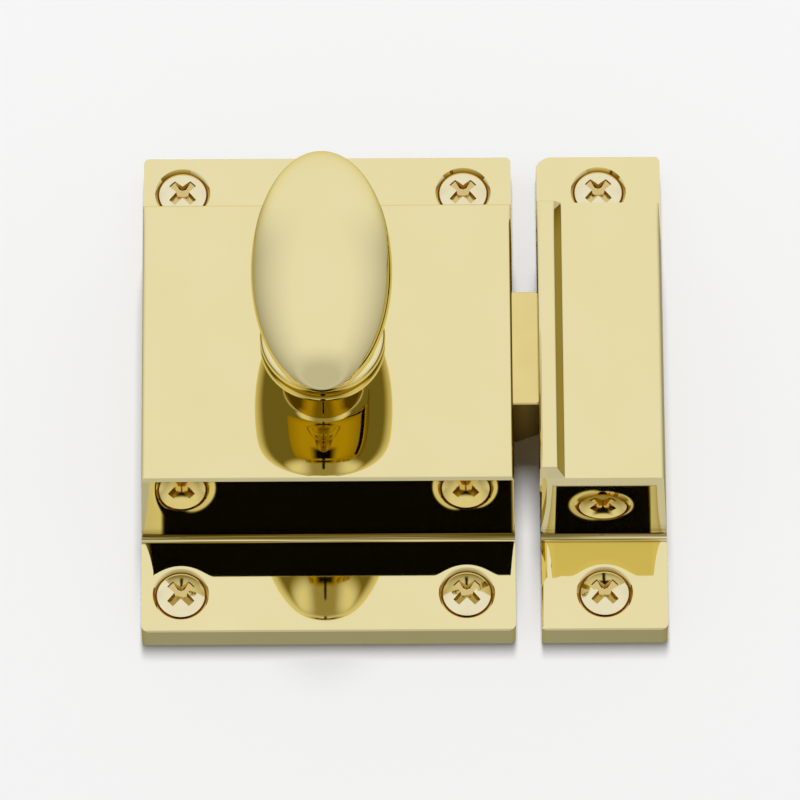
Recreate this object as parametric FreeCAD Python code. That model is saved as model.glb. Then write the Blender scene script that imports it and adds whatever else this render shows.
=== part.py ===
"""Polished brass cupboard catch: a surface latch with an egg-shaped knob and its keeper.

Row frame: x runs along the bolt, z up the door, and the front faces -y. The mounting plane is y = 0,
and the origin lies on the knob's axis. Places are given as (x, out, up), where out is the distance in
front of the mounting plane. All sizes are in millimetres.
"""
import FreeCAD
import Part
import math
import os

# Case: a cast top-hat shell, seen from the front
case_width = 44.5
case_height = 63.5
case_depth = 17.2
case_offset = 0.55          # the case's middle lies this far towards the bolt from the knob's axis
flange_thickness = 3.8
block_height = 36.7         # face of the raised block
wall_setback = 1.17         # lean of the block's upper and lower walls
side_setback = 0.25         # lean of the block's left and right walls
inner_corner = 0.7          # fillet between wall and flange
edge_round = 0.5            # edges softened by polishing
plate_edge_round = 0.3
plate_corner = 0.8
face_wall = 1.8
side_wall = 2.2
cavity_height = 32.4

# Back plate in a rebate behind the cavity
back_plate_thickness = 1.2
rebate_ledge = 1.1
rebate_clearance = 0.1
post_radius = 2.6
post_inset = 2.2
plate_screw_radius = 1.1
plate_screw_head_radius = 2.0
plate_screw_length = 7.0
plate_screw_slot = 0.6
thread_clearance = 0.05

# Wood screws in the flanges
screw_spacing_across = 34.0
screw_spacing_up = 53.8
screw_hole_radius = 1.6
countersink_radius = 3.35
screw_head_radius = 2.85
screw_head_land = 0.2
screw_dome = 0.75
screw_neck_radius = 1.55    # under the head, tapering to the shank at the mounting plane
screw_shank_radius = 1.45
screw_core_radius = 1.05
screw_shank_behind = 5.0
screw_length_behind = 12.0
screw_point = 2.6
recess_arm = 1.65
recess_width = 0.85
recess_depth = 1.1
seat_clearance = 0.02

# Keeper: a narrow casting of the same profile, with a raised lip along its mouth
keeper_gap = 3.1
keeper_width = 15.0
keeper_side_setback = 0.65
keeper_face_wall = 1.5
keeper_side_wall = 2.0
keeper_cavity_height = 31.0
keeper_corner_by_mouth = 2.5
lip_height = 1.7
lip_width = 2.0
lip_slope = 1.0
lip_overhang = 0.3
lip_root_depth = 4.6
lip_end_setback = 0.55
lip_round = 0.35
mouth_clearance = 0.5

# Bolt: a bevelled nose on a frame that goes round the spindle
bolt_height = 15.0
bolt_back = 4.8
bolt_reach = 9.8            # nose in front of the case's side
bolt_tip_thickness = 3.0
bolt_edge_round = 0.3
bolt_face_clearance = 0.2
window_clearance = 0.12
frame_half_height = 10.8
rail_inner = 6.2
rear_bar = 3.2
frame_clearance = 0.6
stop_clearance = 0.1

# Turning parts, all on the knob's axis
turn_angle = 60.0
finger_radius = 7.5
finger_tip = 1.6
finger_neck = 2.4
finger_play = 0.18
hub_radius = 5.0
tumbler_back = 6.0
tumbler_thickness = 3.8
journal_radius = 3.95
journal_clearance = 0.05
boss_radius = 5.8
thrust_washer_thickness = 0.7
thrust_washer_radius = 5.4
end_float = 0.1
spindle_side = 4.0
spindle_clearance = 0.05
spindle_grip = 12.0         # length held in the knob above the face
clamp_washer_thickness = 0.6
clamp_washer_radius = 4.0
clamp_screw_radius = 1.2
clamp_screw_head_radius = 2.4
clamp_screw_head = 1.5
clamp_screw_length = 7.0
clamp_screw_slot = 0.7

# Knob: an egg on a turned neck with a round foot
egg_half_width = 8.3
egg_half_length = 15.6
egg_half_thickness = 6.5
egg_centre = 18.0           # in front of the case's face
foot_radius = 7.45
foot_thickness = 1.9
foot_chamfer = 0.55
neck_radius = 4.6
neck_cove = 2.0

# Bolt spring, between the frame's rear bar and the case's side
spring_radius = 2.7
spring_wire = 0.6
spring_turns = 5
spring_wire_sides = 6
spring_pocket_clearance = 0.4
spring_end_clearance = 0.05
bar_pocket_depth = 2.4
wall_pocket_depth = 0.8

# Places that follow from the sizes above
case_left = case_offset - case_width / 2
case_right = case_offset + case_width / 2
keeper_left = case_right + keeper_gap
keeper_right = keeper_left + keeper_width
keeper_screw_x = keeper_left + keeper_width / 2
cavity_left = case_left + side_wall
cavity_right = case_right - side_wall
cavity_front = case_depth - face_wall
bolt_front = cavity_front - bolt_face_clearance
bolt_tip = case_right + bolt_reach
bolt_travel = 2 * finger_radius * math.sin(math.radians(turn_angle / 2))
tumbler_front = tumbler_back + tumbler_thickness
boss_back = tumbler_front + thrust_washer_thickness + 2 * end_float
frame_rear_window = -boss_radius - frame_clearance
frame_front_window = boss_radius + bolt_travel + frame_clearance
frame_rear = frame_rear_window - rear_bar
foot_back = case_depth + end_float
egg_out = case_depth + egg_centre
spring_out = (bolt_back + bolt_front) / 2
overcut = 1.0


def at(x, out, up):
    """Point of the row frame from its place across, in front of the door and up the door."""
    return FreeCAD.Vector(x, -out, up)


BACKWARDS = FreeCAD.Vector(0, 1, 0)
ACROSS = FreeCAD.Vector(1, 0, 0)
UPWARDS = FreeCAD.Vector(0, 0, 1)
ORIGIN = FreeCAD.Vector(0, 0, 0)


def block(x_span, out_span, up_span):
    """Box between two places along each direction."""
    corner = at(x_span[0], out_span[1], up_span[0])
    return Part.makeBox(x_span[1] - x_span[0], out_span[1] - out_span[0], up_span[1] - up_span[0], corner)


def rod(radius, x, up, back, front):
    """Round bar that stands out of the door."""
    return Part.makeCylinder(radius, front - back, at(x, front, up), BACKWARDS)


def outline(corners):
    """Closed face from corners given as (point, radius), with a tangent arc at each rounded corner."""
    edges = []
    joints = []
    for i, (corner, radius) in enumerate(corners):
        before = corners[i - 1][0].sub(corner).normalize()
        after = corners[(i + 1) % len(corners)][0].sub(corner).normalize()
        half = before.getAngle(after) / 2
        start = corner.add(FreeCAD.Vector(before).multiply(radius / math.tan(half)))
        end = corner.add(FreeCAD.Vector(after).multiply(radius / math.tan(half)))
        if radius > 0:
            bisector = before.add(after).normalize()
            middle = corner.add(bisector.multiply(radius / math.sin(half) - radius))
            edges.append(Part.Arc(start, middle, end).toShape())
        joints.append((start, end))
    for i, (start, end) in enumerate(joints):
        edges.append(Part.LineSegment(joints[i - 1][1], start).toShape())
    return Part.Face(Part.Wire(Part.__sortEdges__(edges)))


def turned(points, x, up):
    """Solid of revolution about an axis out of the door, from (radius, out) points."""
    corners = [at(x + radius, out, up) for radius, out in points]
    face = Part.Face(Part.makePolygon(corners + corners[:1]))
    return face.revolve(at(x, 0, up), BACKWARDS, 360)


def hat_profile(lip, lip_setback):
    """Side profile of flange, leaning wall and block, as (out, up, radius) from bottom to top."""
    half_plate = case_height / 2
    half_face = block_height / 2
    lower = [
        (0, -half_plate, 0),
        (flange_thickness, -half_plate, plate_edge_round),
        (flange_thickness, -half_face - wall_setback, inner_corner),
    ]
    if lip > 0:
        lower.append((case_depth, -half_face, 0))
        lower.append((case_depth + lip, -half_face + lip_setback, lip_round))
    else:
        lower.append((case_depth, -half_face, edge_round))
    return lower + [(out, -up, radius) for out, up, radius in reversed(lower)]


def casting(left, right, profile, plan, front):
    """Shape common to a side profile, a plan section and a front outline."""
    side = outline([(at(left, out, up), radius) for out, up, radius in profile])
    body = side.extrude(FreeCAD.Vector(right - left, 0, 0))
    section = outline([(at(x, out, -case_height), radius) for x, out, radius in plan])
    body = body.common(section.extrude(FreeCAD.Vector(0, 0, 2 * case_height)))
    face = outline([(at(x, -overcut, up), radius) for x, up, radius in front])
    return body.common(face.extrude(FreeCAD.Vector(0, -2 * case_depth, 0)))


def screw_places(x, spacing_across):
    """Screw centres as (x, up), in one or two columns."""
    columns = [x - spacing_across / 2, x + spacing_across / 2] if spacing_across else [x]
    return [(column, side * screw_spacing_up / 2) for column in columns for side in (1, -1)]


case_screw_places = screw_places(0, screw_spacing_across)
keeper_screw_places = screw_places(keeper_screw_x, 0)
plate_screw_places = [
    (x, up)
    for x in (cavity_left + post_inset, cavity_right - post_inset)
    for up in (cavity_height / 2 - post_inset, post_inset - cavity_height / 2)
]


def countersunk_hole(x, up):
    """Clearance hole through the flange with a right-angled countersink."""
    depth = countersink_radius - screw_hole_radius
    return turned(
        [
            (0, flange_thickness + overcut),
            (countersink_radius + overcut, flange_thickness + overcut),
            (screw_hole_radius, flange_thickness - depth),
            (screw_hole_radius, -overcut),
            (0, -overcut),
        ],
        x,
        up,
    )


def latch_case():
    plan = [
        (case_left, 0, 0),
        (case_left, flange_thickness, 0),
        (case_left + side_setback, case_depth, edge_round),
        (case_right - side_setback, case_depth, edge_round),
        (case_right, flange_thickness, 0),
        (case_right, 0, 0),
    ]
    half = case_height / 2
    front = [(x, up, plate_corner) for x, up in
             ((case_left, -half), (case_right, -half), (case_right, half), (case_left, half))]
    body = casting(case_left, case_right, hat_profile(0, 0), plan, front)
    body = body.cut(block((cavity_left, cavity_right), (-overcut, cavity_front),
                          (-cavity_height / 2, cavity_height / 2)))
    for x, up in plate_screw_places:
        body = body.fuse(rod(post_radius, x, up, back_plate_thickness, cavity_front))
    body = body.fuse(rod(boss_radius, 0, 0, boss_back, cavity_front))
    cuts = [
        block((cavity_left - rebate_ledge, cavity_right + rebate_ledge), (-overcut, back_plate_thickness),
              (-cavity_height / 2 - rebate_ledge, cavity_height / 2 + rebate_ledge)),
        rod(journal_radius + journal_clearance, 0, 0, 0, case_depth + overcut),
        block((cavity_right - overcut, case_right + overcut), (bolt_back - window_clearance, cavity_front),
              (-bolt_height / 2 - window_clearance, bolt_height / 2 + window_clearance)),
        spring_pocket(cavity_left - wall_pocket_depth, cavity_left + overcut),
    ]
    for x, up in case_screw_places:
        cuts.append(countersunk_hole(x, up))
    for x, up in plate_screw_places:
        cuts.append(rod(plate_screw_radius + thread_clearance, x, up, 0, plate_screw_length + overcut))
    return body.cut(cuts).removeSplitter()


def spring_pocket(x_from, x_to):
    """Round pocket along the bolt that holds one end of the spring."""
    radius = spring_radius + spring_wire / 2 + spring_pocket_clearance
    return Part.makeCylinder(radius, x_to - x_from, at(x_from, spring_out, 0), ACROSS)


def back_plate():
    reach = rebate_ledge - rebate_clearance
    plate = block((cavity_left - reach, cavity_right + reach), (0, back_plate_thickness),
                  (-cavity_height / 2 - reach, cavity_height / 2 + reach))
    head = plate_screw_head_radius + seat_clearance
    shank = plate_screw_radius + thread_clearance
    for x, up in plate_screw_places:
        plate = plate.cut(turned([(0, -overcut), (head + overcut, -overcut), (shank, head - shank),
                                  (shank, back_plate_thickness + overcut),
                                  (0, back_plate_thickness + overcut)], x, up))
    return plate


def plate_screw(x, up):
    """Small slotted countersunk screw, flush with the back plate."""
    cone = plate_screw_head_radius - plate_screw_radius
    screw = turned([(0, 0), (plate_screw_head_radius, 0), (plate_screw_radius, cone),
                    (plate_screw_radius, plate_screw_length), (0, plate_screw_length)], x, up)
    slot = block((x - plate_screw_head_radius, x + plate_screw_head_radius), (-overcut, cone / 2),
                 (up - plate_screw_slot / 2, up + plate_screw_slot / 2))
    return screw.cut(slot)


def wood_screw(x, up):
    """Raised countersunk wood screw with a cross recess, a tapered neck and a plain shank."""
    seat = flange_thickness - (countersink_radius - screw_head_radius) + seat_clearance
    rim = seat + screw_head_land
    neck = seat - (screw_head_radius - screw_neck_radius)
    shoulder = screw_shank_radius - screw_core_radius
    screw = turned(
        [
            (0, rim),
            (screw_head_radius, rim),
            (screw_head_radius, seat),
            (screw_neck_radius, neck),
            (screw_shank_radius, 0),
            (screw_shank_radius, -screw_shank_behind),
            (screw_core_radius, -screw_shank_behind - shoulder),
            (screw_core_radius, screw_point - screw_length_behind),
            (0, -screw_length_behind),
        ],
        x,
        up,
    )
    sphere_radius = (screw_head_radius ** 2 + screw_dome ** 2) / (2 * screw_dome)
    dome = Part.makeSphere(sphere_radius, at(x, rim + screw_dome - sphere_radius, up))
    dome = dome.common(rod(screw_head_radius, x, up, rim, rim + 2 * screw_dome))
    screw = screw.fuse(dome).removeSplitter()
    arm = block((x - recess_arm, x + recess_arm),
                (rim + screw_dome - recess_depth, rim + 2 * screw_dome),
                (up - recess_width / 2, up + recess_width / 2))
    for turn in (45, 135):
        cutter = arm.copy()
        cutter.rotate(at(x, 0, up), BACKWARDS, turn)
        screw = screw.cut(cutter)
    return screw


def keeper():
    lip_left = keeper_left - lip_overhang
    plan = [
        (keeper_left, 0, 0),
        (keeper_left, case_depth + lip_height - lip_root_depth - lip_overhang, 0),
        (lip_left, case_depth + lip_height - lip_root_depth, 0),
        (lip_left, case_depth + lip_height, lip_round),
        (lip_left + lip_width, case_depth + lip_height, lip_round),
        (lip_left + lip_width + lip_slope, case_depth, lip_round),
        (keeper_right - keeper_side_setback, case_depth, edge_round),
        (keeper_right, flange_thickness, 0),
        (keeper_right, 0, 0),
    ]
    half = case_height / 2
    front = [
        (lip_left, -half, plate_corner),
        (keeper_right, -half, plate_corner),
        (keeper_right, half, plate_corner),
        (lip_left, half, keeper_corner_by_mouth),
    ]
    body = casting(lip_left, keeper_right, hat_profile(lip_height, lip_end_setback), plan, front)
    pocket_front = case_depth - keeper_face_wall
    mouth_half = bolt_height / 2 + mouth_clearance
    cuts = [
        block((keeper_left + keeper_side_wall, keeper_right - keeper_side_wall), (-overcut, pocket_front),
              (-keeper_cavity_height / 2, keeper_cavity_height / 2)),
        block((lip_left - overcut, keeper_left + keeper_side_wall + overcut), (-overcut, pocket_front),
              (-mouth_half, mouth_half)),
    ]
    for x, up in keeper_screw_places:
        cuts.append(countersunk_hole(x, up))
    return body.cut(cuts).removeSplitter()


def bolt():
    half = bolt_height / 2
    section = outline([
        (at(cavity_right - stop_clearance, out, up), bolt_edge_round)
        for out, up in ((bolt_back, -half), (bolt_front, -half), (bolt_front, half), (bolt_back, half))
    ])
    nose = section.extrude(FreeCAD.Vector(bolt_tip - cavity_right + stop_clearance, 0, 0))
    bevel_foot = bolt_front - bolt_tip_thickness
    bevel = outline([
        (at(case_right, bolt_back, -bolt_height), 0),
        (at(bolt_tip, bevel_foot, -bolt_height), 0),
        (at(bolt_tip + overcut, bevel_foot, -bolt_height), 0),
        (at(bolt_tip + overcut, bolt_back - overcut, -bolt_height), 0),
        (at(case_right, bolt_back - overcut, -bolt_height), 0),
    ])
    nose = nose.cut(bevel.extrude(FreeCAD.Vector(0, 0, 2 * bolt_height)))
    frame = block((frame_rear, cavity_right - stop_clearance), (bolt_back, bolt_front),
                  (-frame_half_height, frame_half_height))
    frame = frame.cut(block((frame_rear_window, frame_front_window), (bolt_back - overcut, bolt_front + overcut),
                            (-rail_inner, rail_inner)))
    notch_half = finger_tip + finger_play
    notch_x = bolt_travel / 2
    notch = block((notch_x - notch_half, notch_x + notch_half), (bolt_back - overcut, tumbler_front + end_float),
                  (-finger_radius - notch_half, -rail_inner + overcut))
    return frame.fuse(nose).cut([notch, spring_pocket(frame_rear - overcut, frame_rear + bar_pocket_depth)])


def bolt_spring():
    """Open coil of half turns, tilted to and fro so that each runs on into the next."""
    start = cavity_left - wall_pocket_depth + spring_end_clearance
    end = frame_rear + bar_pocket_depth - spring_end_clearance
    wire = spring_wire / 2
    rise = (end - start - spring_wire) / (2 * spring_turns)
    reach = math.hypot(spring_radius, rise / 2)
    tilt = math.degrees(math.atan2(rise / 2, spring_radius))
    angles = [2 * math.pi * i / spring_wire_sides for i in range(spring_wire_sides)]
    ring = [FreeCAD.Vector(reach + wire * math.cos(a), 0, wire * math.sin(a)) for a in angles]
    section = Part.Face(Part.makePolygon(ring + ring[:1]))
    coil = []
    for i in range(2 * spring_turns):
        half_turn = section.revolve(ORIGIN, UPWARDS, 180)
        half_turn.rotate(ORIGIN, BACKWARDS, tilt)
        half_turn.rotate(ORIGIN, UPWARDS, 180 * (i % 2))
        half_turn.translate(FreeCAD.Vector(0, 0, wire + (i + 0.5) * rise))
        coil.append(half_turn)
    spring = coil[0].fuse(coil[1:]).removeSplitter()
    spring.rotate(ORIGIN, BACKWARDS, 90)
    spring.translate(at(start, spring_out, 0))
    return spring


def square_bar(side, back, front):
    return block((-side / 2, side / 2), (back, front), (-side / 2, side / 2))


def knob():
    egg = Part.makeSphere(1.0)
    stretch = FreeCAD.Matrix()
    stretch.scale(egg_half_width, egg_half_thickness, egg_half_length)
    egg = egg.transformGeometry(stretch)
    egg.translate(at(0, egg_out, 0))
    foot_front = foot_back + foot_thickness
    stem = outline([
        (at(0, tumbler_front, 0), 0),
        (at(journal_radius, tumbler_front, 0), 0),
        (at(journal_radius, foot_back, 0), 0),
        (at(foot_radius - foot_chamfer, foot_back, 0), 0),
        (at(foot_radius, foot_back + foot_chamfer, 0), 0),
        (at(foot_radius, foot_front - foot_chamfer, 0), 0),
        (at(foot_radius - foot_chamfer, foot_front, 0), 0),
        (at(neck_radius, foot_front, 0), neck_cove),
        (at(neck_radius, egg_out, 0), 0),
        (at(0, egg_out, 0), 0),
    ]).revolve(ORIGIN, BACKWARDS, 360)
    socket = square_bar(spindle_side + 2 * spindle_clearance, tumbler_front - overcut,
                        case_depth + spindle_grip + end_float)
    return egg.fuse(stem).cut(socket).removeSplitter()


def spindle():
    bar = square_bar(spindle_side, tumbler_back + end_float, case_depth + spindle_grip)
    return bar.cut(rod(clamp_screw_radius + thread_clearance, 0, 0, 0, tumbler_back + clamp_screw_length))


def thrust_washer():
    back = tumbler_front + end_float
    ring = rod(thrust_washer_radius, 0, 0, back, back + thrust_washer_thickness)
    return ring.cut(rod(journal_radius + 2 * journal_clearance, 0, 0, 0, case_depth))


def tumbler():
    hub = rod(hub_radius, 0, 0, tumbler_back, tumbler_front)
    neck = block((-finger_neck / 2, finger_neck / 2), (tumbler_back, tumbler_front), (-finger_radius, 0))
    tip = rod(finger_tip, 0, -finger_radius, tumbler_back, tumbler_front)
    plate = hub.fuse([neck, tip]).removeSplitter()
    plate.rotate(ORIGIN, BACKWARDS, -turn_angle / 2)
    return plate.cut(square_bar(spindle_side + 2 * spindle_clearance, 0, case_depth))


def clamp_washer():
    ring = rod(clamp_washer_radius, 0, 0, tumbler_back - clamp_washer_thickness, tumbler_back)
    return ring.cut(rod(clamp_screw_radius + thread_clearance, 0, 0, 0, case_depth))


def clamp_screw():
    seat = tumbler_back - clamp_washer_thickness
    screw = turned([(0, seat - clamp_screw_head), (clamp_screw_head_radius, seat - clamp_screw_head),
                    (clamp_screw_head_radius, seat), (clamp_screw_radius, seat),
                    (clamp_screw_radius, seat + clamp_screw_length), (0, seat + clamp_screw_length)], 0, 0)
    return screw.cut(block((-clamp_screw_head_radius, clamp_screw_head_radius),
                           (seat - clamp_screw_head - overcut, seat - clamp_screw_head / 2),
                           (-clamp_screw_slot / 2, clamp_screw_slot / 2)))


nodes = {
    "latch_case": latch_case(),
    "back_plate": back_plate(),
    "back_plate_screws": Part.makeCompound([plate_screw(x, up) for x, up in plate_screw_places]),
    "case_screws": Part.makeCompound([wood_screw(x, up) for x, up in case_screw_places]),
    "keeper": keeper(),
    "keeper_screws": Part.makeCompound([wood_screw(x, up) for x, up in keeper_screw_places]),
    "bolt": bolt(),
    "bolt_spring": bolt_spring(),
    "knob": knob(),
    "spindle": spindle(),
    "thrust_washer": thrust_washer(),
    "tumbler": tumbler(),
    "tumbler_washer": clamp_washer(),
    "tumbler_screw": clamp_screw(),
}

os.makedirs("parts", exist_ok=True)
for name, shape in nodes.items():
    shape.exportStep(f"parts/{name}.step")
    solids = shape.Solids
    print(name, len(solids), round(sum(s.Volume for s in solids), 2), all(s.isValid() for s in solids))
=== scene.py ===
"""Polished brass cupboard catch, photographed from slightly below on a pale board.

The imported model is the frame: x runs along the bolt towards the keeper, z up the door, and the front
faces -y. Meshes and lamps are in metres and finishes in millimetres. The pieces come in the order in which
the catch is put together.
"""

import bmesh
import bpy
import numpy as np
from mathutils import Matrix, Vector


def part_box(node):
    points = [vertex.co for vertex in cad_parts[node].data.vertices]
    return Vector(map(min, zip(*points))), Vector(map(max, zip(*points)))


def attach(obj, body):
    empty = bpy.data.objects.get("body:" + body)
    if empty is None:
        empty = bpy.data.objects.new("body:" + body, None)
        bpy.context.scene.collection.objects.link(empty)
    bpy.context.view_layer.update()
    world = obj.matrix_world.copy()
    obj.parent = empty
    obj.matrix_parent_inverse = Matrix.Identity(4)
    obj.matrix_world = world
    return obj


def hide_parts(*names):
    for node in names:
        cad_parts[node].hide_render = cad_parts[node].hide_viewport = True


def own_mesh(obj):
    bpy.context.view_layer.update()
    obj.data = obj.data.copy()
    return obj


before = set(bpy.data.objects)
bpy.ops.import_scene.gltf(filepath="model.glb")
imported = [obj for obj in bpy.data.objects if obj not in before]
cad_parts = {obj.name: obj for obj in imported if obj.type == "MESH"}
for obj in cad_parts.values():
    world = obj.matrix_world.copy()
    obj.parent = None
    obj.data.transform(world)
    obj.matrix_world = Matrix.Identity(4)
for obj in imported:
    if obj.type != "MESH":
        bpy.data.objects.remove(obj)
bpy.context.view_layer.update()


# Latch case: a top-hat shell with two drilled flanges, hollow behind for the bolt.
# Yellow brass, sand cast, ground flat, mopped to a mirror and lacquered. It keeps the CAD solid's shape,
# whose corners are already rounded as the mop leaves them.
MM = 0.001
MOPPED_BRASS = {"deep": "#efe2a9", "pale": "#f3e8b5", "roughness": 0.03, "drift_mm": 9.0, "grain_mm": 0.6,
                "waver_mm": 0.002}
DRIFT_DETAIL, GRAIN_DETAIL, STREAK_DETAIL = 1.0, 3.0, 2.0
FACE_ROLL = ("Z", 0.0, 12.5, 18.35, 0.36, 3.0)
FLANGE_ROLL = ("Z", 0.0, 29.0, 31.75, 0.012, 3.0)
CASE_END_ROLL = ("X", 1.6, 20.0, 23.3, 0.14, 3.0)
CASE_HOLES = (0.0, 17.0)
HOLE_UP, HOLE_ROLL = 26.9, (4.6, 3.35, 0.038, 3.0)
HEAD_RADIUS = 2.85
# Painted shade deep in the countersinks and cross recesses: where it starts and is full, and how far behind
# the face it reaches. Then the countersinks' dome rim, height, radius and shade colour.
HOLLOW_SHADE_START, HOLLOW_SHADE_FULL, HOLLOW_SHADE_BACK = 0.05, 0.3, 2.9
COUNTERSINK_SHADE = (3.8, 0.0, 3.45, "#c49d42")
# Painted shade along the inner corner between wall and flange: its height, reach and colour.
CORNER_UP, CORNER_REACH, CORNER_SHADE = 19.85, 0.6, "#8d7a3c"
STREAK_LENGTH, STREAK_WIDTH, STREAK_START, STREAK_FULL = 25.0, 0.2, 0.35, 0.55


def linear(code):
    """sRGB hex code as linear red, green, blue and alpha."""
    share = np.array([int(code[i:i + 2], 16) for i in (1, 3, 5)]) / 255
    curve = np.where(share <= 0.04045, share / 12.92, ((share + 0.055) / 1.055) ** 2.4)
    return curve.tolist() + [1.0]


def add_node(tree, kind, inputs=(), output=0, **settings):
    """Adds one node with its settings and returns one of its outputs.

    Each of the inputs is fed by another node's output or held at a plain value. A mix node's inputs go by
    number: 0 is the share, 2 and 3 are numbers, and 6 and 7 are colours. It gives a colour at output 2.
    """
    made = tree.nodes.new(kind)
    for name, value in settings.items():
        setattr(made, name, value)
    for name, value in dict(inputs).items():
        if isinstance(value, bpy.types.NodeSocket):
            tree.links.new(value, made.inputs[name])
        else:
            made.inputs[name].default_value = value
    return made.outputs[output]


def screw_square(tree, axes, middle, half):
    """Square of the distance from the nearest screw's axis, with all screws folded onto one."""
    offset = add_node(tree, "ShaderNodeMath", {0: axes["X"], 1: middle * MM}, operation="SUBTRACT")
    across = add_node(tree, "ShaderNodeMath", {0: offset}, operation="ABSOLUTE")
    aside = add_node(tree, "ShaderNodeMath", {0: across, 1: half * MM}, operation="SUBTRACT")
    up = add_node(tree, "ShaderNodeMath", {0: axes["Z"]}, operation="ABSOLUTE")
    above = add_node(tree, "ShaderNodeMath", {0: up, 1: HOLE_UP * MM}, operation="SUBTRACT")
    rise = add_node(tree, "ShaderNodeMath", {0: above, 1: above}, operation="MULTIPLY")
    return add_node(tree, "ShaderNodeMath", {0: aside, 1: aside, 2: rise}, operation="MULTIPLY_ADD")


def hollow_shade_share(tree, axes, squared, reach, rim, dome, radius):
    """Painted shade in the screws' hollows: it darkens what lies deeper than a dome round each screw.

    The dome's level is rim + dome in the middle and falls with the square of the distance, to the rim at the
    head's edge. Nothing counts outside the radius or behind HOLLOW_SHADE_BACK.
    """
    level = add_node(tree, "ShaderNodeMath",
                     {0: squared, 1: -dome / (HEAD_RADIUS ** 2 * MM), 2: (rim + dome) * MM},
                     operation="MULTIPLY_ADD")
    under = add_node(tree, "ShaderNodeMath", {0: level, 1: axes["Y"]}, operation="ADD")
    depth = add_node(tree, "ShaderNodeMapRange",
                     {"Value": under, "From Min": HOLLOW_SHADE_START * MM, "From Max": HOLLOW_SHADE_FULL * MM})
    near = add_node(tree, "ShaderNodeMath", {0: reach, 1: radius * MM}, operation="LESS_THAN")
    front = add_node(tree, "ShaderNodeMath", {0: axes["Y"], 1: -HOLLOW_SHADE_BACK * MM}, operation="LESS_THAN")
    within = add_node(tree, "ShaderNodeMath", {0: near, 1: front}, operation="MULTIPLY")
    return add_node(tree, "ShaderNodeMath", {0: depth, 1: within}, operation="MULTIPLY")


def corner_shade_share(tree, place, axes, corner_up):
    """Painted shade: a soft band along an inner corner, broken into streaks by long noise."""
    up = add_node(tree, "ShaderNodeMath", {0: axes["Z"]}, operation="ABSOLUTE")
    offset = add_node(tree, "ShaderNodeMath", {0: up, 1: corner_up * MM}, operation="SUBTRACT")
    distance = add_node(tree, "ShaderNodeMath", {0: offset}, operation="ABSOLUTE")
    near = add_node(tree, "ShaderNodeMapRange",
                    {"Value": distance, "From Min": CORNER_REACH * MM, "From Max": CORNER_REACH / 2 * MM},
                    interpolation_type="SMOOTHSTEP")
    across = 1 / (STREAK_WIDTH * MM)
    stretched = add_node(tree, "ShaderNodeVectorMath",
                         {0: place, 1: (1 / (STREAK_LENGTH * MM), across, across)}, operation="MULTIPLY")
    streak = add_node(tree, "ShaderNodeTexNoise",
                      {"Vector": stretched, "Scale": 1.0, "Detail": STREAK_DETAIL}, "Fac")
    broken = add_node(tree, "ShaderNodeMapRange",
                      {"Value": streak, "From Min": STREAK_START, "From Max": STREAK_FULL})
    return add_node(tree, "ShaderNodeMath", {0: near, 1: broken}, operation="MULTIPLY")


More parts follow.
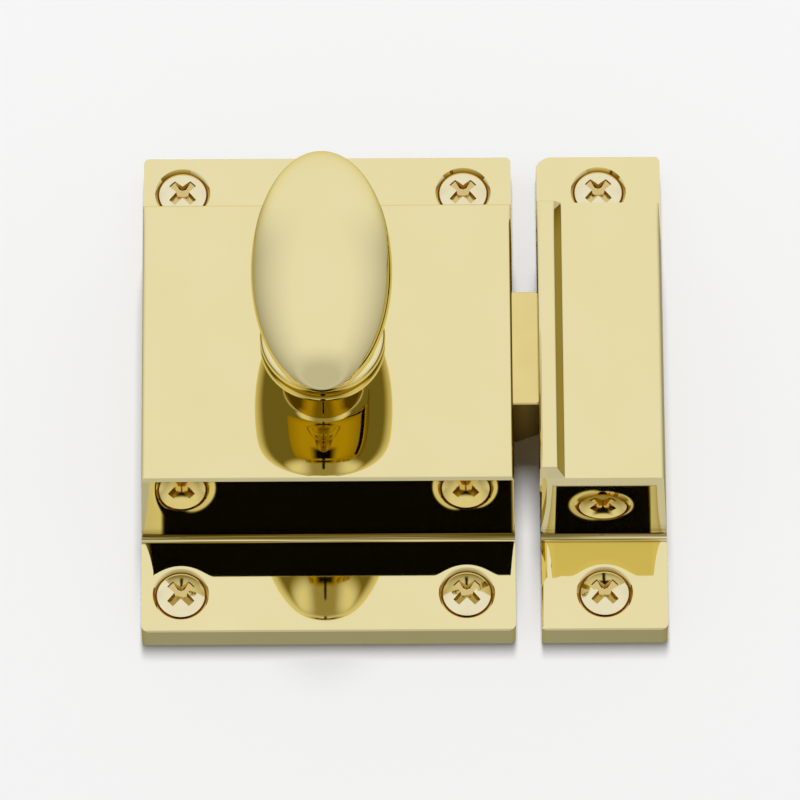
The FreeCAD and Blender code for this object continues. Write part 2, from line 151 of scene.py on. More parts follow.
def metal_finish(name, deep, pale, roughness, drift_mm, grain_mm, waver_mm, rolls=(), holes=None, hollow_shade=None,
                 corner_up=None):
    """Metal that drifts between two tones, with a broken gloss and a faintly wavy surface. Sizes are in mm.

    The tone follows smooth noise of drift_mm. The same noise, as a height of waver_mm, bends the mirror
    images. The roughness varies by a third with noise of grain_mm. Each of the rolls lets the surface fall
    away as the mop rounds it: along an axis, between two distances from a middle, by a depth and with a power
    of the share of the way. The holes do so round the screws, given their middle and half their spacing
    across, and pool paints shade on what lies deep there, given its dome's rim, height, radius and colour.
    An inner corner at corner_up gets painted shade, browner in streaks.
    """
    material = bpy.data.materials.new(name)
    material.use_nodes = True
    tree = material.node_tree
    shader = tree.nodes["Principled BSDF"]
    shader.inputs["Metallic"].default_value = 1.0
    shader.inputs["Specular Tint"].default_value = linear(deep)
    place = add_node(tree, "ShaderNodeTexCoord", output="Object")
    axes = add_node(tree, "ShaderNodeSeparateXYZ", {"Vector": place}).node.outputs
    drift = add_node(tree, "ShaderNodeTexNoise",
                     {"Vector": place, "Scale": 1 / (drift_mm * MM), "Detail": DRIFT_DETAIL}, "Fac")
    grain = add_node(tree, "ShaderNodeTexNoise",
                     {"Vector": place, "Scale": 1 / (grain_mm * MM), "Detail": GRAIN_DETAIL}, "Fac")
    tone = add_node(tree, "ShaderNodeMix", {0: drift, 6: linear(deep), 7: linear(pale)}, 2, data_type="RGBA")
    gloss = add_node(tree, "ShaderNodeMath", {0: grain, 1: roughness * 2 / 3, 2: roughness * 2 / 3},
                     operation="MULTIPLY_ADD")
    falls = []
    for axis, middle, *course in rolls:
        offset = add_node(tree, "ShaderNodeMath", {0: axes[axis], 1: middle * MM}, operation="SUBTRACT")
        falls.append((add_node(tree, "ShaderNodeMath", {0: offset}, operation="ABSOLUTE"), *course))
    if holes:
        squared = screw_square(tree, axes, *holes)
        reach = add_node(tree, "ShaderNodeMath", {0: squared}, operation="SQRT")
        falls.append((reach, *HOLE_ROLL))
        # Painted shade: the hollows round the screws are mixed towards a darker colour.
        *dome, hollow_shade_colour = hollow_shade
        share = hollow_shade_share(tree, axes, squared, reach, *dome)
        tone = add_node(tree, "ShaderNodeMix", {0: share, 6: tone, 7: linear(hollow_shade_colour)}, 2, data_type="RGBA")
    if corner_up:
        # Painted shade along the inner corner.
        share = corner_shade_share(tree, place, axes, corner_up)
        tone = add_node(tree, "ShaderNodeMix", {0: share, 6: tone, 7: linear(CORNER_SHADE)}, 2,
                        data_type="RGBA")
    height = add_node(tree, "ShaderNodeMath", {0: drift, 1: waver_mm}, operation="MULTIPLY")
    for distance, start, end, fall, power in falls:
        share = add_node(tree, "ShaderNodeMapRange",
                         {"Value": distance, "From Min": start * MM, "From Max": end * MM})
        curve = add_node(tree, "ShaderNodeMath", {0: share, 1: power}, operation="POWER")
        height = add_node(tree, "ShaderNodeMath", {0: curve, 1: -fall, 2: height}, operation="MULTIPLY_ADD")
    bump = add_node(tree, "ShaderNodeBump", {"Distance": MM, "Height": height})
    tree.links.new(tone, shader.inputs["Base Color"])
    tree.links.new(gloss, shader.inputs["Roughness"])
    tree.links.new(bump, shader.inputs["Normal"])
    return material


def dress(node_name, material):
    """Gives a CAD node its finish."""
    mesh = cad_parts[node_name].data
    mesh.materials.clear()
    mesh.materials.append(material)


# Mopped yellow brass under clear lacquer: a warm, almost perfect mirror, with painted shade in its
# countersinks and along its inner corners.
case_brass = metal_finish("polished_lacquered_brass_case", **MOPPED_BRASS,
                          rolls=(FACE_ROLL, FLANGE_ROLL, CASE_END_ROLL), holes=CASE_HOLES,
                          hollow_shade=COUNTERSINK_SHADE, corner_up=CORNER_UP)
dress("latch_case", case_brass)


# Knob: an egg-shaped grip on a coved neck, with a round foot that turns on the case's face.
# Cast with the neck, turned and mopped like the case. It replaces the CAD knob in order to blend the neck
# into the egg, which the plain solid joins with a hard corner.
EGG_HALF_WIDTH, EGG_HALF_THICKNESS, EGG_HALF_LENGTH = 8.3 * MM, 6.5 * MM, 15.6 * MM
EGG_OUT, EGG_TIP = 35.2 * MM, 0.02
FOOT_RADIUS, FOOT_BACK, FOOT_FRONT, FOOT_EDGE = 7.45 * MM, 17.3 * MM, 19.2 * MM, 0.75 * MM
NECK_RADIUS, NECK_COVE, NECK_FLARE = 4.6 * MM, 2.0 * MM, 1.1 * MM
JOURNAL_RADIUS, JOURNAL_BACK = 3.95 * MM, 9.9 * MM
EDGE_STEPS, COVE_STEPS, FLARE_STEPS = 7, 15, 12
WELD = 1e-4 * MM


def skin(rings):
    """Closed surface through a stack of rings of points: its points, four-sided faces and triangles.

    Neighbouring rings are joined by four-sided faces, and each end is closed by a fan of triangles to the
    middle of its ring. Rings that run counterclockwise about the way they advance give outward faces.
    """
    count, around = rings.shape[:2]
    here = np.arange(count * around).reshape(count, around)
    ahead = np.roll(here, -1, axis=1)
    quads = np.stack([here[:-1], ahead[:-1], ahead[1:], here[1:]], axis=-1).reshape(-1, 4)
    first = np.stack([ahead[0], here[0], np.full(around, count * around)], axis=-1)
    last = np.stack([here[-1], ahead[-1], np.full(around, count * around + 1)], axis=-1)
    points = np.concatenate([rings.reshape(-1, 3), rings[[0, -1]].mean(axis=1)])
    return points, quads, np.concatenate([first, last])


def make_piece(name, surfaces, material, body, sharp=40.0):
    """Joins surfaces into one smooth object, hard-edged above the sharp angle, and sets it on its body."""
    points, quads, triangles = zip(*surfaces)
    starts = np.cumsum([0] + [len(own) for own in points[:-1]])
    quads = np.concatenate([own + start for own, start in zip(quads, starts)])
    triangles = np.concatenate([own + start for own, start in zip(triangles, starts)])
    mesh = bpy.data.meshes.new(name)
    mesh.from_pydata(np.concatenate(points).tolist(), [], quads.tolist() + triangles.tolist())
    solid = bmesh.new()
    solid.from_mesh(mesh)
    bmesh.ops.remove_doubles(solid, verts=solid.verts, dist=WELD)
    solid.to_mesh(mesh)
    solid.free()
    mesh.shade_smooth()
    mesh.set_sharp_from_angle(angle=np.radians(sharp))
    mesh.materials.append(material)
    piece = bpy.data.objects.new(name, mesh)
    bpy.context.scene.collection.objects.link(piece)
    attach(piece, body)
    return piece


def arc(middle, radius, start, end, steps):
    """Points (radius, out) on a circular arc between two angles in degrees."""
    turn = np.radians(np.linspace(start, end, steps))
    return np.stack([middle[0] + radius * np.cos(turn), middle[1] + radius * np.sin(turn)], axis=-1)


def egg_back(x, z):
    """Distance in front of the door of the egg's back, an ellipsoid, over the place (x, z)."""
    inside = 1 - (x / EGG_HALF_WIDTH) ** 2 - (z / EGG_HALF_LENGTH) ** 2
    return EGG_OUT - EGG_HALF_THICKNESS * np.sqrt(inside)


def egg_surface(latitudes, longitudes):
    """Ellipsoid: rings across the long axis, from the lower tip to the upper one."""
    polar = np.linspace(EGG_TIP, np.pi - EGG_TIP, latitudes)[:, None]
    turn = np.linspace(0, 2 * np.pi, longitudes, endpoint=False)[None, :]
    x = EGG_HALF_WIDTH * np.sin(polar) * np.cos(turn)
    y = EGG_HALF_THICKNESS * np.sin(polar) * np.sin(turn) - EGG_OUT
    z = -EGG_HALF_LENGTH * np.cos(polar) * np.ones_like(turn)
    return skin(np.stack([x, y, z], axis=-1))


def stem_surface(around):
    """Journal, foot and coved neck turned about the knob's axis, then a flare that meets the egg's back.

    The flare is a quadratic curve from the neck, by way of the corner with the egg, to a point on the egg
    further out, so that it leaves the neck and reaches the egg without a corner.
    """
    edge, cove = FOOT_EDGE, NECK_COVE
    profile = np.concatenate([
        [(JOURNAL_RADIUS, JOURNAL_BACK), (JOURNAL_RADIUS, FOOT_BACK)],
        arc((FOOT_RADIUS - edge, FOOT_BACK + edge), edge, -90, 0, EDGE_STEPS),
        arc((FOOT_RADIUS - edge, FOOT_FRONT - edge), edge, 0, 90, EDGE_STEPS),
        arc((NECK_RADIUS + cove, FOOT_FRONT + cove), cove, 270, 180, COVE_STEPS),
    ])
    turn = np.linspace(0, 2 * np.pi, around, endpoint=False)
    radius = np.repeat(profile[:, :1], around, axis=1)
    out = np.repeat(profile[:, 1:], around, axis=1)
    corner = egg_back(NECK_RADIUS * np.cos(turn), NECK_RADIUS * np.sin(turn))
    rim_radius = NECK_RADIUS + NECK_FLARE
    rim = egg_back(rim_radius * np.cos(turn), rim_radius * np.sin(turn))
    share = np.linspace(0, 1, FLARE_STEPS)[:, None]
    flare_radius = NECK_RADIUS + NECK_FLARE * share ** 2
    flare_out = ((1 - share) ** 2 * (corner - NECK_FLARE) + 2 * share * (1 - share) * corner
                 + share ** 2 * rim)
    radius = np.concatenate([radius, np.repeat(flare_radius, around, axis=1)])
    out = np.concatenate([out, flare_out])
    return skin(np.stack([radius * np.cos(turn), -out, radius * np.sin(turn)], axis=-1))


# The same brass and mop as the case, on a form that is round all over.
knob_brass = metal_finish("polished_lacquered_brass_knob", **MOPPED_BRASS)
knob = make_piece("knob_cast", [egg_surface(latitudes=121, longitudes=160), stem_surface(around=128)],
                  knob_brass, "turning_knob")
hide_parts("knob")


# Spindle: a square bar that is fixed in the knob and carries its turn into the case.
# Drawn steel, cut to length and zinc plated.
# Bright zinc on steel: pale grey with a blurred gleam.
zinc_steel = metal_finish("bright_zinc_plated_steel", "#b6b8b8", "#d0d1cf",
                          roughness=0.28, drift_mm=2.0, grain_mm=0.3, waver_mm=0.002)
dress("spindle", zinc_steel)


# Thrust washer: keeps the tumbler off the boss inside the case.
# Punched from rolled brass sheet and loose on the spindle's axis.
# Rolled sheet as it leaves the mill: duller, and a little brown.
rolled_brass = metal_finish("rolled_brass_sheet", "#d9c581", "#e6d594",
                            roughness=0.26, drift_mm=5.0, grain_mm=0.3, waver_mm=0.002)
dress("thrust_washer", rolled_brass)


# Tumbler: a hub on the spindle, with one finger that draws the bolt back.
# Sawn from extruded brass bar and wiped with fine grit.
EXTRUDED_DEEP, EXTRUDED_PALE = "#e6d088", "#efdc98"
# Extruded brass, finely wiped: a soft gleam, yellower than the polished face.
satin_brass = metal_finish("satin_extruded_brass", EXTRUDED_DEEP, EXTRUDED_PALE,
                           roughness=0.2, drift_mm=4.0, grain_mm=0.3, waver_mm=0.002)
dress("tumbler", satin_brass)


# Tumbler washer and screw: clamp the tumbler on the end of the spindle.
# A punched washer and a slotted machine screw, both of zinc-plated steel.
dress("tumbler_washer", zinc_steel)
dress("tumbler_screw", zinc_steel)


# Bolt: a nose bevelled at the back, on a frame that goes round the spindle.
# Milled from extruded brass bar and wiped smooth. It slides between the case's face and back plate.
# Extruded brass rubbed bright by the keeper: yellower than the face, with a nearly sharp mirror.
bolt_brass = metal_finish("wiped_extruded_brass", EXTRUDED_DEEP, EXTRUDED_PALE,
                          roughness=0.08, drift_mm=4.0, grain_mm=0.3, waver_mm=0.002)
dress("bolt", bolt_brass)


# Bolt spring: an open coil between the bolt's frame and the case's side, wound from hard-drawn steel wire.
# In use the coil closes up as the bolt is drawn back; here it is built at its open length.
# It replaces the CAD coil, which has six-sided wire.
SPRING_START, SPRING_END = -20.25 * MM, -7.25 * MM
SPRING_OUT, SPRING_RADIUS, WIRE_RADIUS = 10.0 * MM, 2.7 * MM, 0.3 * MM
SPRING_TURNS, FLAT_TURNS = 6.0, 0.75


def coil_surface(steps, sides):
    """Round wire along a helix that lies flat for FLAT_TURNS at each end and advances evenly between.

    The wire's ring stands on the radius and on the direction square to both the radius and the path.
    """
    share = np.linspace(0, 1, steps)
    turn = 2 * np.pi * SPRING_TURNS * share
    advance = np.clip((share * SPRING_TURNS - FLAT_TURNS) / (SPRING_TURNS - 2 * FLAT_TURNS), 0, 1)
    x = SPRING_START + WIRE_RADIUS + advance * (SPRING_END - SPRING_START - 2 * WIRE_RADIUS)
    radial = np.stack([np.zeros(steps), -np.cos(turn), np.sin(turn)], axis=-1)
    path = SPRING_RADIUS * radial + np.stack([x, np.full(steps, -SPRING_OUT), np.zeros(steps)], axis=-1)
    along = np.gradient(path, axis=0)
    along /= np.linalg.norm(along, axis=1, keepdims=True)
    across = np.cross(along, radial)
    around = np.linspace(0, 2 * np.pi, sides, endpoint=False)[None, :, None]
    return skin(path[:, None, :]
                + WIRE_RADIUS * (np.cos(around) * radial[:, None, :] + np.sin(around) * across[:, None, :]))


# Drawn and blued wire: darker than the plated parts.
spring_steel = metal_finish("hard_drawn_spring_wire", "#83868a", "#9da0a2",
                            roughness=0.24, drift_mm=1.5, grain_mm=0.2, waver_mm=0.001)
bolt_spring = make_piece("bolt_spring_coil", [coil_surface(steps=360, sides=12)], spring_steel, "latch")
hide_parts("bolt_spring")
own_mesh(bolt_spring)


# Back plate: closes the case's hollow behind the bolt, flush with the door.
# Cropped from rolled brass sheet, and left as the mill made it.
dress("back_plate", rolled_brass)


# Back plate screws: four small slotted screws that hold the plate on posts inside the case.
# Zinc-plated steel, with heads sunk flush in the plate.
dress("back_plate_screws", zinc_steel)


# Case screws: four wood screws through the case's flanges, with raised heads sunk in cones.
# Brass, turned on an automatic lathe, with a cold-punched cross recess and a rolled thread.
# They replace the CAD screws, which have straight-sided recesses and no thread.
TURNED_BRASS = {"deep": "#eee2b4", "pale": "#f6eed0", "roughness": 0.09, "drift_mm": 1.5, "grain_mm": 0.2,
                "waver_mm": 0.0015}
HEAD_SEAT, HEAD_RIM, HEAD_DOME = 3.32 * MM, 3.52 * MM, 0.75 * MM
NECK_OUT, NECK_TOP_RADIUS = 2.02 * MM, 1.55 * MM
THREAD_RADIUS, CORE_RADIUS, THREAD_PITCH = 1.45 * MM, 1.05 * MM, 1.25 * MM
PLAIN_END, THREAD_START, POINT_START, POINT_END = -4.2 * MM, -4.6 * MM, -9.4 * MM, -12.0 * MM
THREAD_RINGS, THREAD_FADE, RIDGE_SHARE, POINT_SHARE = 84, 0.5 * THREAD_PITCH, 0.3, 0.03
RECESS_DEPTH, RECESS_SLOPE, RECESS_TURN = 1.15 * MM, 0.62 * MM, 45.0
RECESS_HALF_WIDTH, RECESS_ARM = 0.16, 0.61
RECESS_LINES = np.array([0, 0.05, 0.1, RECESS_HALF_WIDTH, 0.19, 0.23, 0.28, 0.34, 0.42, 0.5, 0.56, RECESS_ARM,
                         0.64, 0.7, 0.77, 0.84, 0.91, 0.96, 1.0])
# Painted shade in the cross recess: the dome's rim, height, radius and shade colour.
RECESS_SHADE = (HEAD_RIM / MM, HEAD_DOME / MM, 2.0, "#dcc483")
SCREW_SHARP = 30.0


def screw_head(x, z):
    """Raised head over a square of lines that is bent into a disc.

    A place (s, t) of the square goes to s * sqrt(1 - t^2 / 2) across and t * sqrt(1 - s^2 / 2) up. The
    cross lies along the square's lines, so its walls are crisp. Each arm's floor falls towards the middle.
    Also returns the disc's edge, counterclockwise from the front.
    """
    lines = np.concatenate([-RECESS_LINES[:0:-1], RECESS_LINES])
    s, t = np.meshgrid(lines, lines, indexing="ij")
    across, up = s * np.sqrt(1 - t ** 2 / 2), t * np.sqrt(1 - s ** 2 / 2)
    tilt = np.radians(RECESS_TURN)
    across, up = across * np.cos(tilt) - up * np.sin(tilt), across * np.sin(tilt) + up * np.cos(tilt)
    out = HEAD_RIM + HEAD_DOME * (1 - across ** 2 - up ** 2)
    arm_s = (np.abs(t) <= RECESS_HALF_WIDTH) & (np.abs(s) <= RECESS_ARM)
    arm_t = (np.abs(s) <= RECESS_HALF_WIDTH) & (np.abs(t) <= RECESS_ARM)
    floor = RECESS_DEPTH - RECESS_SLOPE * np.maximum(np.abs(s), np.abs(t)) / RECESS_ARM
    out = np.where(arm_s | arm_t, HEAD_RIM + HEAD_DOME - floor, out)
    points = np.stack([x + HEAD_RADIUS * MM * across, -out, z + HEAD_RADIUS * MM * up], axis=-1)
    here = np.arange(s.size).reshape(s.shape)
    quads = np.stack([here[:-1, :-1], here[1:, :-1], here[1:, 1:], here[:-1, 1:]], axis=-1).reshape(-1, 4)
    edge = np.concatenate([points[:-1, 0], points[-1, :-1], points[:0:-1, -1], points[0, :0:-1]])
    return points.reshape(-1, 3), quads, edge


def screw_shank(x, z, edge):
    """Turned shank up to the head's edge, with a thread that runs down to the point, as a stack of rings.

    The thread is a ridge whose place along the shank moves on by one pitch in each turn. Its height fades in
    below the plain shank, and core and ridge shrink together towards the point.
    """
    turn = np.arctan2(edge[:, 2] - z, edge[:, 0] - x)[None, :]
    low = np.linspace(POINT_END, THREAD_START, THREAD_RINGS)[:, None]
    phase = (low / THREAD_PITCH - turn / (2 * np.pi)) % 1
    ridge = np.clip(1 - np.abs(phase - 0.5) / RIDGE_SHARE, 0, 1)
    ridge = ridge * np.clip((THREAD_START - low) / THREAD_FADE, 0, 1)
    taper = np.clip((low - POINT_END) / (POINT_START - POINT_END), POINT_SHARE, 1)
    cut_radius = (CORE_RADIUS + (THREAD_RADIUS - CORE_RADIUS) * ridge) * taper
    plain = np.array([(THREAD_RADIUS, PLAIN_END), (THREAD_RADIUS, 0), (NECK_TOP_RADIUS, NECK_OUT),
                      (HEAD_RADIUS * MM, HEAD_SEAT)])
    radius = np.concatenate([cut_radius, np.repeat(plain[:, :1], len(edge), axis=1)])
    out = np.concatenate([np.repeat(low, len(edge), axis=1), np.repeat(plain[:, 1:], len(edge), axis=1)])
    rings = np.stack([x + radius * np.cos(turn), -out, z + radius * np.sin(turn)], axis=-1)
    return np.concatenate([rings, edge[None]])


def wood_screws(middle, half):
    """Screws above and below, in one or two columns: each a shank's skin, open at the top, and its head."""
    surfaces = []
    for x in np.unique([middle - half, middle + half]) * MM:
        for z in (-HOLE_UP * MM, HOLE_UP * MM):
            head_points, head_quads, edge = screw_head(x, z)
            points, quads, triangles = skin(screw_shank(x, z, edge))
            surfaces.append((points[:-1], quads, triangles[:len(edge)]))
            surfaces.append((head_points, head_quads, triangles[:0]))
    return surfaces


# Bright turned brass: paler than the mopped case, with a slightly blurred mirror and painted shade that
# browns the cross recess.
case_screw_brass = metal_finish("bright_turned_brass_case_screws", **TURNED_BRASS, holes=CASE_HOLES,
                                hollow_shade=RECESS_SHADE)
case_screws = make_piece("case_wood_screws", wood_screws(*CASE_HOLES), case_screw_brass, "latch",
                         sharp=SCREW_SHARP)
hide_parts("case_screws")


# Keeper: a narrow casting of the case's profile, with a raised lip along the mouth that takes the bolt.
# Cast, polished and lacquered with the case, and held by two of the same wood screws.
KEEPER_MIDDLE = 33.4
KEEPER_HOLES = (KEEPER_MIDDLE, 0.0)
KEEPER_END_ROLL = ("X", KEEPER_MIDDLE, 5.3, 7.5, 0.26, 3.0)
KEEPER_WALL_ROLL = ("Y", 0.0, 3.8, 17.3, 1.45, 1.0)
# The case's finish, with the same painted shade, rounded at the keeper's own sides.
keeper_brass = metal_finish("polished_lacquered_brass_keeper", **MOPPED_BRASS,
                            rolls=(FACE_ROLL, KEEPER_WALL_ROLL, KEEPER_END_ROLL), holes=KEEPER_HOLES,
                            hollow_shade=COUNTERSINK_SHADE, corner_up=CORNER_UP)
dress("keeper", keeper_brass)


# Keeper screws: two wood screws like the case's, one through each of the keeper's flanges.
# The same turned brass, driven into the door frame.
# Painted shade browns the cross recesses here, as on the case's screws.
keeper_screw_brass = metal_finish("bright_turned_brass_keeper_screws", **TURNED_BRASS, holes=KEEPER_HOLES,
                                  hollow_shade=RECESS_SHADE)
keeper_screws = make_piece("keeper_wood_screws", wood_screws(*KEEPER_HOLES), keeper_screw_brass, "latch",
                           sharp=SCREW_SHARP)
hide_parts("keeper_screws")


# Board: the pale ground that the catch lies on. It shows from the front only and is cut away behind the
# catch, so that the back can be looked at too. In mirror images it shows only in the gap beside the bolt,
# where it is painted darker than it is: a painted shadow that stands in for the deeper shadow below the bolt.
BOARD_HALF, CUT_INSET = 1.5, 0.6 * MM
CARD_WHITE, GAP_PAINTED_SHADOW = "#f5f5f5", "#685d46"
GAP_MIDDLE, GAP_HALF, GAP_HALF_HEIGHT = 24.35 * MM, 1.75 * MM, 24.0 * MM


def board_surface(cuts):
    """Flat grid in the mounting plane, with lines through the cuts' edges and no cells inside the cuts."""
    corners = np.array(cuts)
    xs = np.unique(np.concatenate([[-BOARD_HALF, BOARD_HALF], corners[:, :, 0].ravel()]))
    zs = np.unique(np.concatenate([[-BOARD_HALF, BOARD_HALF], corners[:, :, 1].ravel()]))
    x, z = np.meshgrid(xs, zs, indexing="ij")
    here = np.arange(x.size).reshape(x.shape)
    cells = np.stack([here[:-1, :-1], here[1:, :-1], here[1:, 1:], here[:-1, 1:]], axis=-1)
    middle = np.stack([(x[:-1, :-1] + x[1:, 1:]) / 2, (z[:-1, :-1] + z[1:, 1:]) / 2], axis=-1)[:, :, None]
    inside = np.all((middle > corners[:, 0]) & (middle < corners[:, 1]), axis=-1).any(axis=-1)
    return np.stack([x, np.zeros_like(x), z], axis=-1).reshape(-1, 3), cells[~inside]


footprints = [((low.x + CUT_INSET, low.z + CUT_INSET), (high.x - CUT_INSET, high.z - CUT_INSET))
              for low, high in (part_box("latch_case"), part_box("keeper"))]
board_points, board_cells = board_surface(footprints)
board_mesh = bpy.data.meshes.new("board")
board_mesh.from_pydata(board_points.tolist(), [], board_cells.tolist())
board = bpy.data.objects.new("board", board_mesh)
bpy.context.scene.collection.objects.link(board)
# Matt white card: an even, pale ground that takes soft shadows.
card = bpy.data.materials.new("matt_white_card")
card.use_nodes = True
tree = card.node_tree
tree.nodes.remove(tree.nodes["Principled BSDF"])
in_mirror = add_node(tree, "ShaderNodeLightPath", output="Is Glossy Ray")
# Painted shadow: seen in a mirror, the card in the gap takes a dark brown instead of its white.
shade = add_node(tree, "ShaderNodeMix", {0: in_mirror, 6: linear(CARD_WHITE), 7: linear(GAP_PAINTED_SHADOW)}, 2,
                 data_type="RGBA")
matt = add_node(tree, "ShaderNodeBsdfDiffuse", {"Color": shade})
clear = add_node(tree, "ShaderNodeBsdfTransparent")
behind = add_node(tree, "ShaderNodeNewGeometry", output="Backfacing")
spot = add_node(tree, "ShaderNodeTexCoord", output="Object")
spot_axes = add_node(tree, "ShaderNodeSeparateXYZ", {"Vector": spot}).node.outputs
gap_across = add_node(tree, "ShaderNodeMath", {0: spot_axes["X"], 1: GAP_MIDDLE, 2: GAP_HALF},
                      operation="COMPARE")
gap_up = add_node(tree, "ShaderNodeMath", {0: spot_axes["Z"], 1: 0.0, 2: GAP_HALF_HEIGHT},
                  operation="COMPARE")
gap = add_node(tree, "ShaderNodeMath", {0: gap_across, 1: gap_up}, operation="MULTIPLY")
mirrored_away = add_node(tree, "ShaderNodeMath", {0: in_mirror, 1: gap}, operation="SUBTRACT")
unseen = add_node(tree, "ShaderNodeMath", {0: behind, 1: mirrored_away}, operation="MAXIMUM")
one_sided = add_node(tree, "ShaderNodeMixShader", {0: unseen, 1: matt, 2: clear})
tree.links.new(one_sided, tree.nodes["Material Output"].inputs["Surface"])
board_mesh.materials.append(card)


# Light: a white tent, bright in front and above, dimmer towards the back and underneath.
# What the brass mirrors twice is deeper in colour, and black where it looks into the tent's mouth below the
# lens. A tall narrow softbox above the lens lights the board, so that little but the bolt shades it.
TENT_LIGHT, DIFFUSE_LIGHT, VIEW_LIGHT = 0.90, 0.26, 0.913
TWICE_MIRRORED, THRICE_MIRRORED, THRICE_LIGHT = "#ffee89", "#ffe330", 0.6
WARM_START, WARM_FULL = 0.6, 0.3
MIRRORED_ONCE, MIRRORED_TWICE, UNSCATTERED = 1.5, 2.5, 0.5
SOFTBOX_SIZE, SOFTBOX_AWAY, SOFTBOX_RISE, SOFTBOX_POWER = (0.34, 1.32), 2.4, np.radians(17), 45.6
# Each level follows one part of a ray's heading, from a start to an end, with the values there and a curve.
TENT_LEVELS = {
    "back_fall": ("depth", -0.75, 0.9, 1.0, 0.41, "LINEAR"),
    "steep": ("steepness", 0.45, 0.75, 0.0, 1.0, "SMOOTHSTEP"),
    "low_fall": ("rise", -0.85, -0.38, 0.65, 1.0, "SMOOTHSTEP"),
    "mouth_top": ("rise", -0.18, -0.04, 0.003, 1.0, "SMOOTHSTEP"),
    "mouth_narrow": ("aside", 0.03, 0.06, 0.0, 1.0, "SMOOTHSTEP"),
    "mouth_wide": ("aside", 0.16, 0.4, 0.0, 1.0, "SMOOTHSTEP"),
    "mouth_widens": ("rise", -0.6, -0.48, 0.0, 1.0, "SMOOTHSTEP"),
    "mouth_foot": ("rise", -0.80, -0.88, 0.0, 1.0, "SMOOTHSTEP"),
    "deep_fall": ("depth", -0.85, -0.28, 1.0, 0.2, "LINEAR"),
    "foot_side": ("aside", 0.3, 0.75, 0.4, 0.95, "SMOOTHSTEP"),
    "foot_share": ("rise", -0.15, -0.6, 0.0, 1.0, "SMOOTHSTEP"),
}
world = bpy.data.worlds.new("light_tent")
bpy.context.scene.world = world
world.use_nodes = True
tree = world.node_tree
tent = tree.nodes["Background"]
toward = add_node(tree, "ShaderNodeTexCoord", output="Generated")
toward_axes = add_node(tree, "ShaderNodeSeparateXYZ", {"Vector": toward}).node.outputs
heading = {
    "depth": toward_axes["Y"],
    "rise": toward_axes["Z"],
    "steepness": add_node(tree, "ShaderNodeMath", {0: toward_axes["Z"]}, operation="ABSOLUTE"),
    "aside": add_node(tree, "ShaderNodeMath", {0: toward_axes["X"]}, operation="ABSOLUTE"),
}
tone = {name: add_node(tree, "ShaderNodeMapRange",
                       {"Value": heading[part], "From Min": start, "From Max": end, "To Min": first,
                        "To Max": last}, interpolation_type=curve)
        for name, (part, start, end, first, last, curve) in TENT_LEVELS.items()}
around = add_node(tree, "ShaderNodeMix", {0: tone["steep"], 2: tone["back_fall"], 3: 1.0})
once = add_node(tree, "ShaderNodeMath", {0: around, 1: tone["low_fall"]}, operation="MULTIPLY")
mouth_side = add_node(tree, "ShaderNodeMix",
                      {0: tone["mouth_widens"], 2: tone["mouth_narrow"], 3: tone["mouth_wide"]})
below = add_node(tree, "ShaderNodeMath", {0: tone["mouth_top"], 1: tone["mouth_foot"]}, operation="MAXIMUM")
opening = add_node(tree, "ShaderNodeMath", {0: below, 1: mouth_side}, operation="MAXIMUM")
foot = add_node(tree, "ShaderNodeMath", {0: tone["foot_share"], 1: tone["foot_side"]}, operation="MULTIPLY")
deep = add_node(tree, "ShaderNodeMath", {0: tone["deep_fall"], 1: foot}, operation="MAXIMUM")
again = add_node(tree, "ShaderNodeMath", {0: opening, 1: deep}, operation="MULTIPLY")
path = add_node(tree, "ShaderNodeLightPath").node.outputs
twice = add_node(tree, "ShaderNodeMath", {0: path["Glossy Depth"], 1: MIRRORED_ONCE},
                 operation="GREATER_THAN")
thrice = add_node(tree, "ShaderNodeMath", {0: path["Glossy Depth"], 1: MIRRORED_TWICE},
                  operation="GREATER_THAN")
deepest = add_node(tree, "ShaderNodeMapRange", {"Value": thrice, "To Min": 1.0, "To Max": THRICE_LIGHT})
dimmed = add_node(tree, "ShaderNodeMath", {0: again, 1: deepest}, operation="MULTIPLY")
lit = add_node(tree, "ShaderNodeMix", {0: twice, 2: once, 3: dimmed})
loss = add_node(tree, "ShaderNodeMapRange", {"Value": dimmed, "From Min": WARM_START, "From Max": WARM_FULL})
warmth = add_node(tree, "ShaderNodeMath", {0: twice, 1: loss}, operation="MULTIPLY")
tint = add_node(tree, "ShaderNodeMix", {0: warmth, 6: linear("#ffffff"), 7: linear(TWICE_MIRRORED)}, 2,
                data_type="RGBA")
deep_tint = add_node(tree, "ShaderNodeMix", {0: thrice, 6: tint, 7: linear(THRICE_MIRRORED)}, 2,
                     data_type="RGBA")
mirrored = add_node(tree, "ShaderNodeMath", {0: lit, 1: TENT_LIGHT}, operation="MULTIPLY")
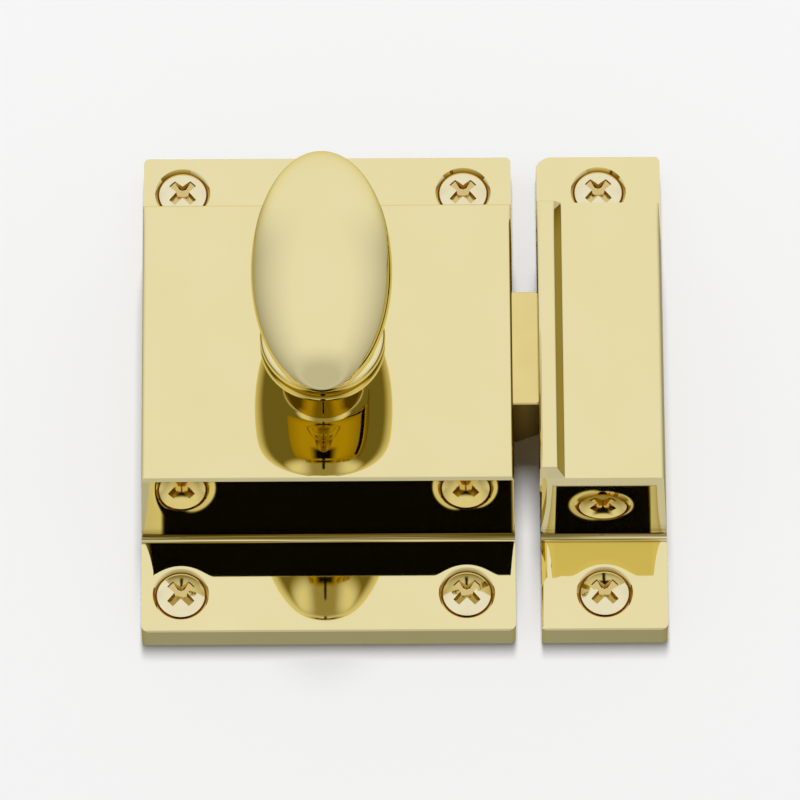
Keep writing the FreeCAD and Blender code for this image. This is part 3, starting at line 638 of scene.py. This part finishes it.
in_view = add_node(tree, "ShaderNodeMix", {0: path["Is Camera Ray"], 2: mirrored, 3: VIEW_LIGHT})
scattered = add_node(tree, "ShaderNodeMath", {0: path["Diffuse Depth"], 1: UNSCATTERED},
                     operation="GREATER_THAN")
level = add_node(tree, "ShaderNodeMix", {0: scattered, 2: in_view, 3: DIFFUSE_LIGHT})
tree.links.new(deep_tint, tent.inputs["Color"])
tree.links.new(level, tent.inputs["Strength"])
glow = bpy.data.lights.new("softbox", "AREA")
glow.shape = "RECTANGLE"
glow.size, glow.size_y = SOFTBOX_SIZE
glow.energy = SOFTBOX_POWER
softbox = bpy.data.objects.new("softbox", glow)
softbox.matrix_world = (Matrix.Rotation(np.pi / 2 - SOFTBOX_RISE, 4, "X")
                        @ Matrix.Translation((0, 0, SOFTBOX_AWAY)))
softbox.visible_glossy = False
softbox.visible_camera = False
bpy.context.scene.collection.objects.link(softbox)


# Camera: a long lens below the catch, turned up at it and a little to the right.
# Its place, turn and focal length are fitted to the photograph.
LENS_PLACE = np.array([6.07, -1076.43, -537.96]) * MM
YAW, PITCH, ROLL = np.radians([0.167, 26.583, -0.374])
FOCAL_PIXELS, FRAME_PIXELS, SENSOR_WIDTH = 9993.0, 800.0, 36.0
forward = np.array([np.sin(YAW) * np.cos(PITCH), np.cos(YAW) * np.cos(PITCH), np.sin(PITCH)])
level_right = np.array([np.cos(YAW), -np.sin(YAW), 0.0])
level_up = np.cross(level_right, forward)
right = np.cos(ROLL) * level_right + np.sin(ROLL) * level_up
up = np.cos(ROLL) * level_up - np.sin(ROLL) * level_right
lens = bpy.data.cameras.new("long_lens")
lens.sensor_width = SENSOR_WIDTH
lens.lens = SENSOR_WIDTH * FOCAL_PIXELS / FRAME_PIXELS
camera = bpy.data.objects.new("camera", lens)
placed = np.eye(4)
placed[:3] = np.stack([right, up, -forward, LENS_PLACE], axis=-1)
camera.matrix_world = Matrix(placed.tolist())
bpy.context.scene.collection.objects.link(camera)
bpy.context.scene.camera = camera
bpy.context.scene.view_settings.view_transform = "Standard"
